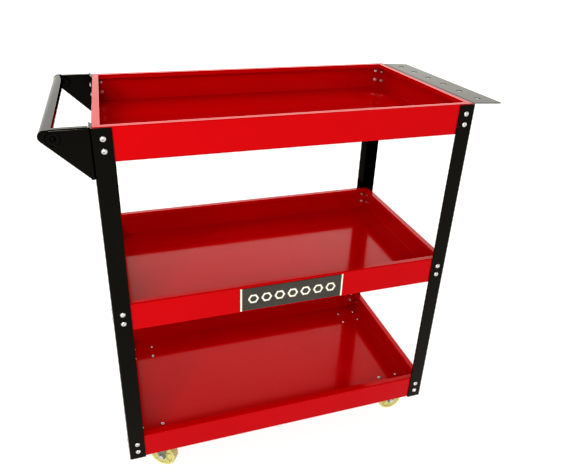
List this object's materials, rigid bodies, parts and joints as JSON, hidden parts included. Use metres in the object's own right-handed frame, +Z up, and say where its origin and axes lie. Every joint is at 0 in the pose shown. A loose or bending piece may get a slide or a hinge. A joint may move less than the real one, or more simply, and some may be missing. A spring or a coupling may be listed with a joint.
{
  "type": "tool cart",
  "caption": "Tiered rolling workshop cart of folded sheet trays in angle legs, with a tubular push handle at one end, a pierced tool shelf at the other, and swivel and fixed casters.",
  "frame": {"origin": "on the floor, under the middle of the whole cart", "axes": "+Z up; +X along the cart's length, from the push handle to the tool shelf; +Y from the name plate side to the rear"},
  "size_m": [0.842, 0.3888, 0.825],
  "materials": {
    "red_paint": "gloss",
    "black_paint": "gloss",
    "zinc": "bright zinc plate",
    "black_zinc": "black zinc plate",
    "pressed_zinc": "dull zinc plate",
    "bearing_steel": "polished",
    "wheel_nylon": "moulded, semi-gloss",
    "plate_face": "satin",
    "plate_white": "gloss"
  },
  "bodies": {
    "cart": {"top_tray": "red_paint", "top_tray_bolts": "zinc", "top_tray_nuts": "zinc", "middle_tray": "red_paint", "middle_tray_bolts": "zinc", "middle_tray_nuts": "zinc", "bottom_tray": "red_paint", "bottom_tray_bolts": "zinc", "bottom_tray_nuts": "zinc", "handle_bracket_front": "black_paint", "leg_front_left": "black_paint", "leg_front_right": "black_paint", "handle_bracket_rear": "black_paint", "leg_rear_left": "black_paint", "leg_rear_right": "black_paint", "handle_tube": "black_paint", "handle_lugs": "black_paint", "handle_screws": "black_zinc", "tool_holder": "black_paint", "name_plate": "plate_face", "name_plate_strips": "plate_white", "caster_screws": "zinc", "caster_screw_nuts": "zinc", "caster_plate_front_left": "pressed_zinc", "kingpin_front_left": "pressed_zinc", "caster_plate_rear_left": "pressed_zinc", "kingpin_rear_left": "pressed_zinc", "caster_plate_front_right": "pressed_zinc", "fork_front_right": "pressed_zinc", "axle_sleeve_front_right": "bearing_steel", "axle_bolt_front_right": "zinc", "axle_nut_front_right": "zinc", "caster_plate_rear_right": "pressed_zinc", "fork_rear_right": "pressed_zinc", "axle_sleeve_rear_right": "bearing_steel", "axle_bolt_rear_right": "zinc", "axle_nut_rear_right": "zinc"},
    "swivel_front_left": {"fork_front_left": "pressed_zinc", "axle_sleeve_front_left": "bearing_steel", "axle_bolt_front_left": "zinc", "axle_nut_front_left": "zinc", "swivel_balls_front_left": "bearing_steel"},
    "rolling_front_left": {"wheel_front_left": "wheel_nylon"},
    "swivel_rear_left": {"fork_rear_left": "pressed_zinc", "axle_sleeve_rear_left": "bearing_steel", "axle_bolt_rear_left": "zinc", "axle_nut_rear_left": "zinc", "swivel_balls_rear_left": "bearing_steel"},
    "rolling_rear_left": {"wheel_rear_left": "wheel_nylon"},
    "rolling_front_right": {"wheel_front_right": "wheel_nylon"},
    "rolling_rear_right": {"wheel_rear_right": "wheel_nylon"}
  },
  "joints": [
    {"name": "caster_swivel_front_left", "type": "hinge", "parent": "cart", "child": "swivel_front_left", "pos_m": [-0.291, -0.133, 0.07], "axis": [0, 0, 1], "continuous": true},
    {"name": "wheel_spin_front_left", "type": "hinge", "parent": "swivel_front_left", "child": "rolling_front_left", "pos_m": [-0.2698, -0.14625, 0.03], "axis": [0.5299, 0.848, 0], "continuous": true},
    {"name": "caster_swivel_rear_left", "type": "hinge", "parent": "cart", "child": "swivel_rear_left", "pos_m": [-0.291, 0.133, 0.07], "axis": [0, 0, 1], "continuous": true},
    {"name": "wheel_spin_rear_left", "type": "hinge", "parent": "swivel_rear_left", "child": "rolling_rear_left", "pos_m": [-0.26722, 0.14073, 0.03], "axis": [-0.309, 0.9511, 0], "continuous": true},
    {"name": "wheel_spin_front_right", "type": "hinge", "parent": "cart", "child": "rolling_front_right", "pos_m": [0.308, -0.133, 0.03], "axis": [0, 1, 0], "continuous": true},
    {"name": "wheel_spin_rear_right", "type": "hinge", "parent": "cart", "child": "rolling_rear_right", "pos_m": [0.308, 0.133, 0.03], "axis": [0, 1, 0], "continuous": true}
  ]
}
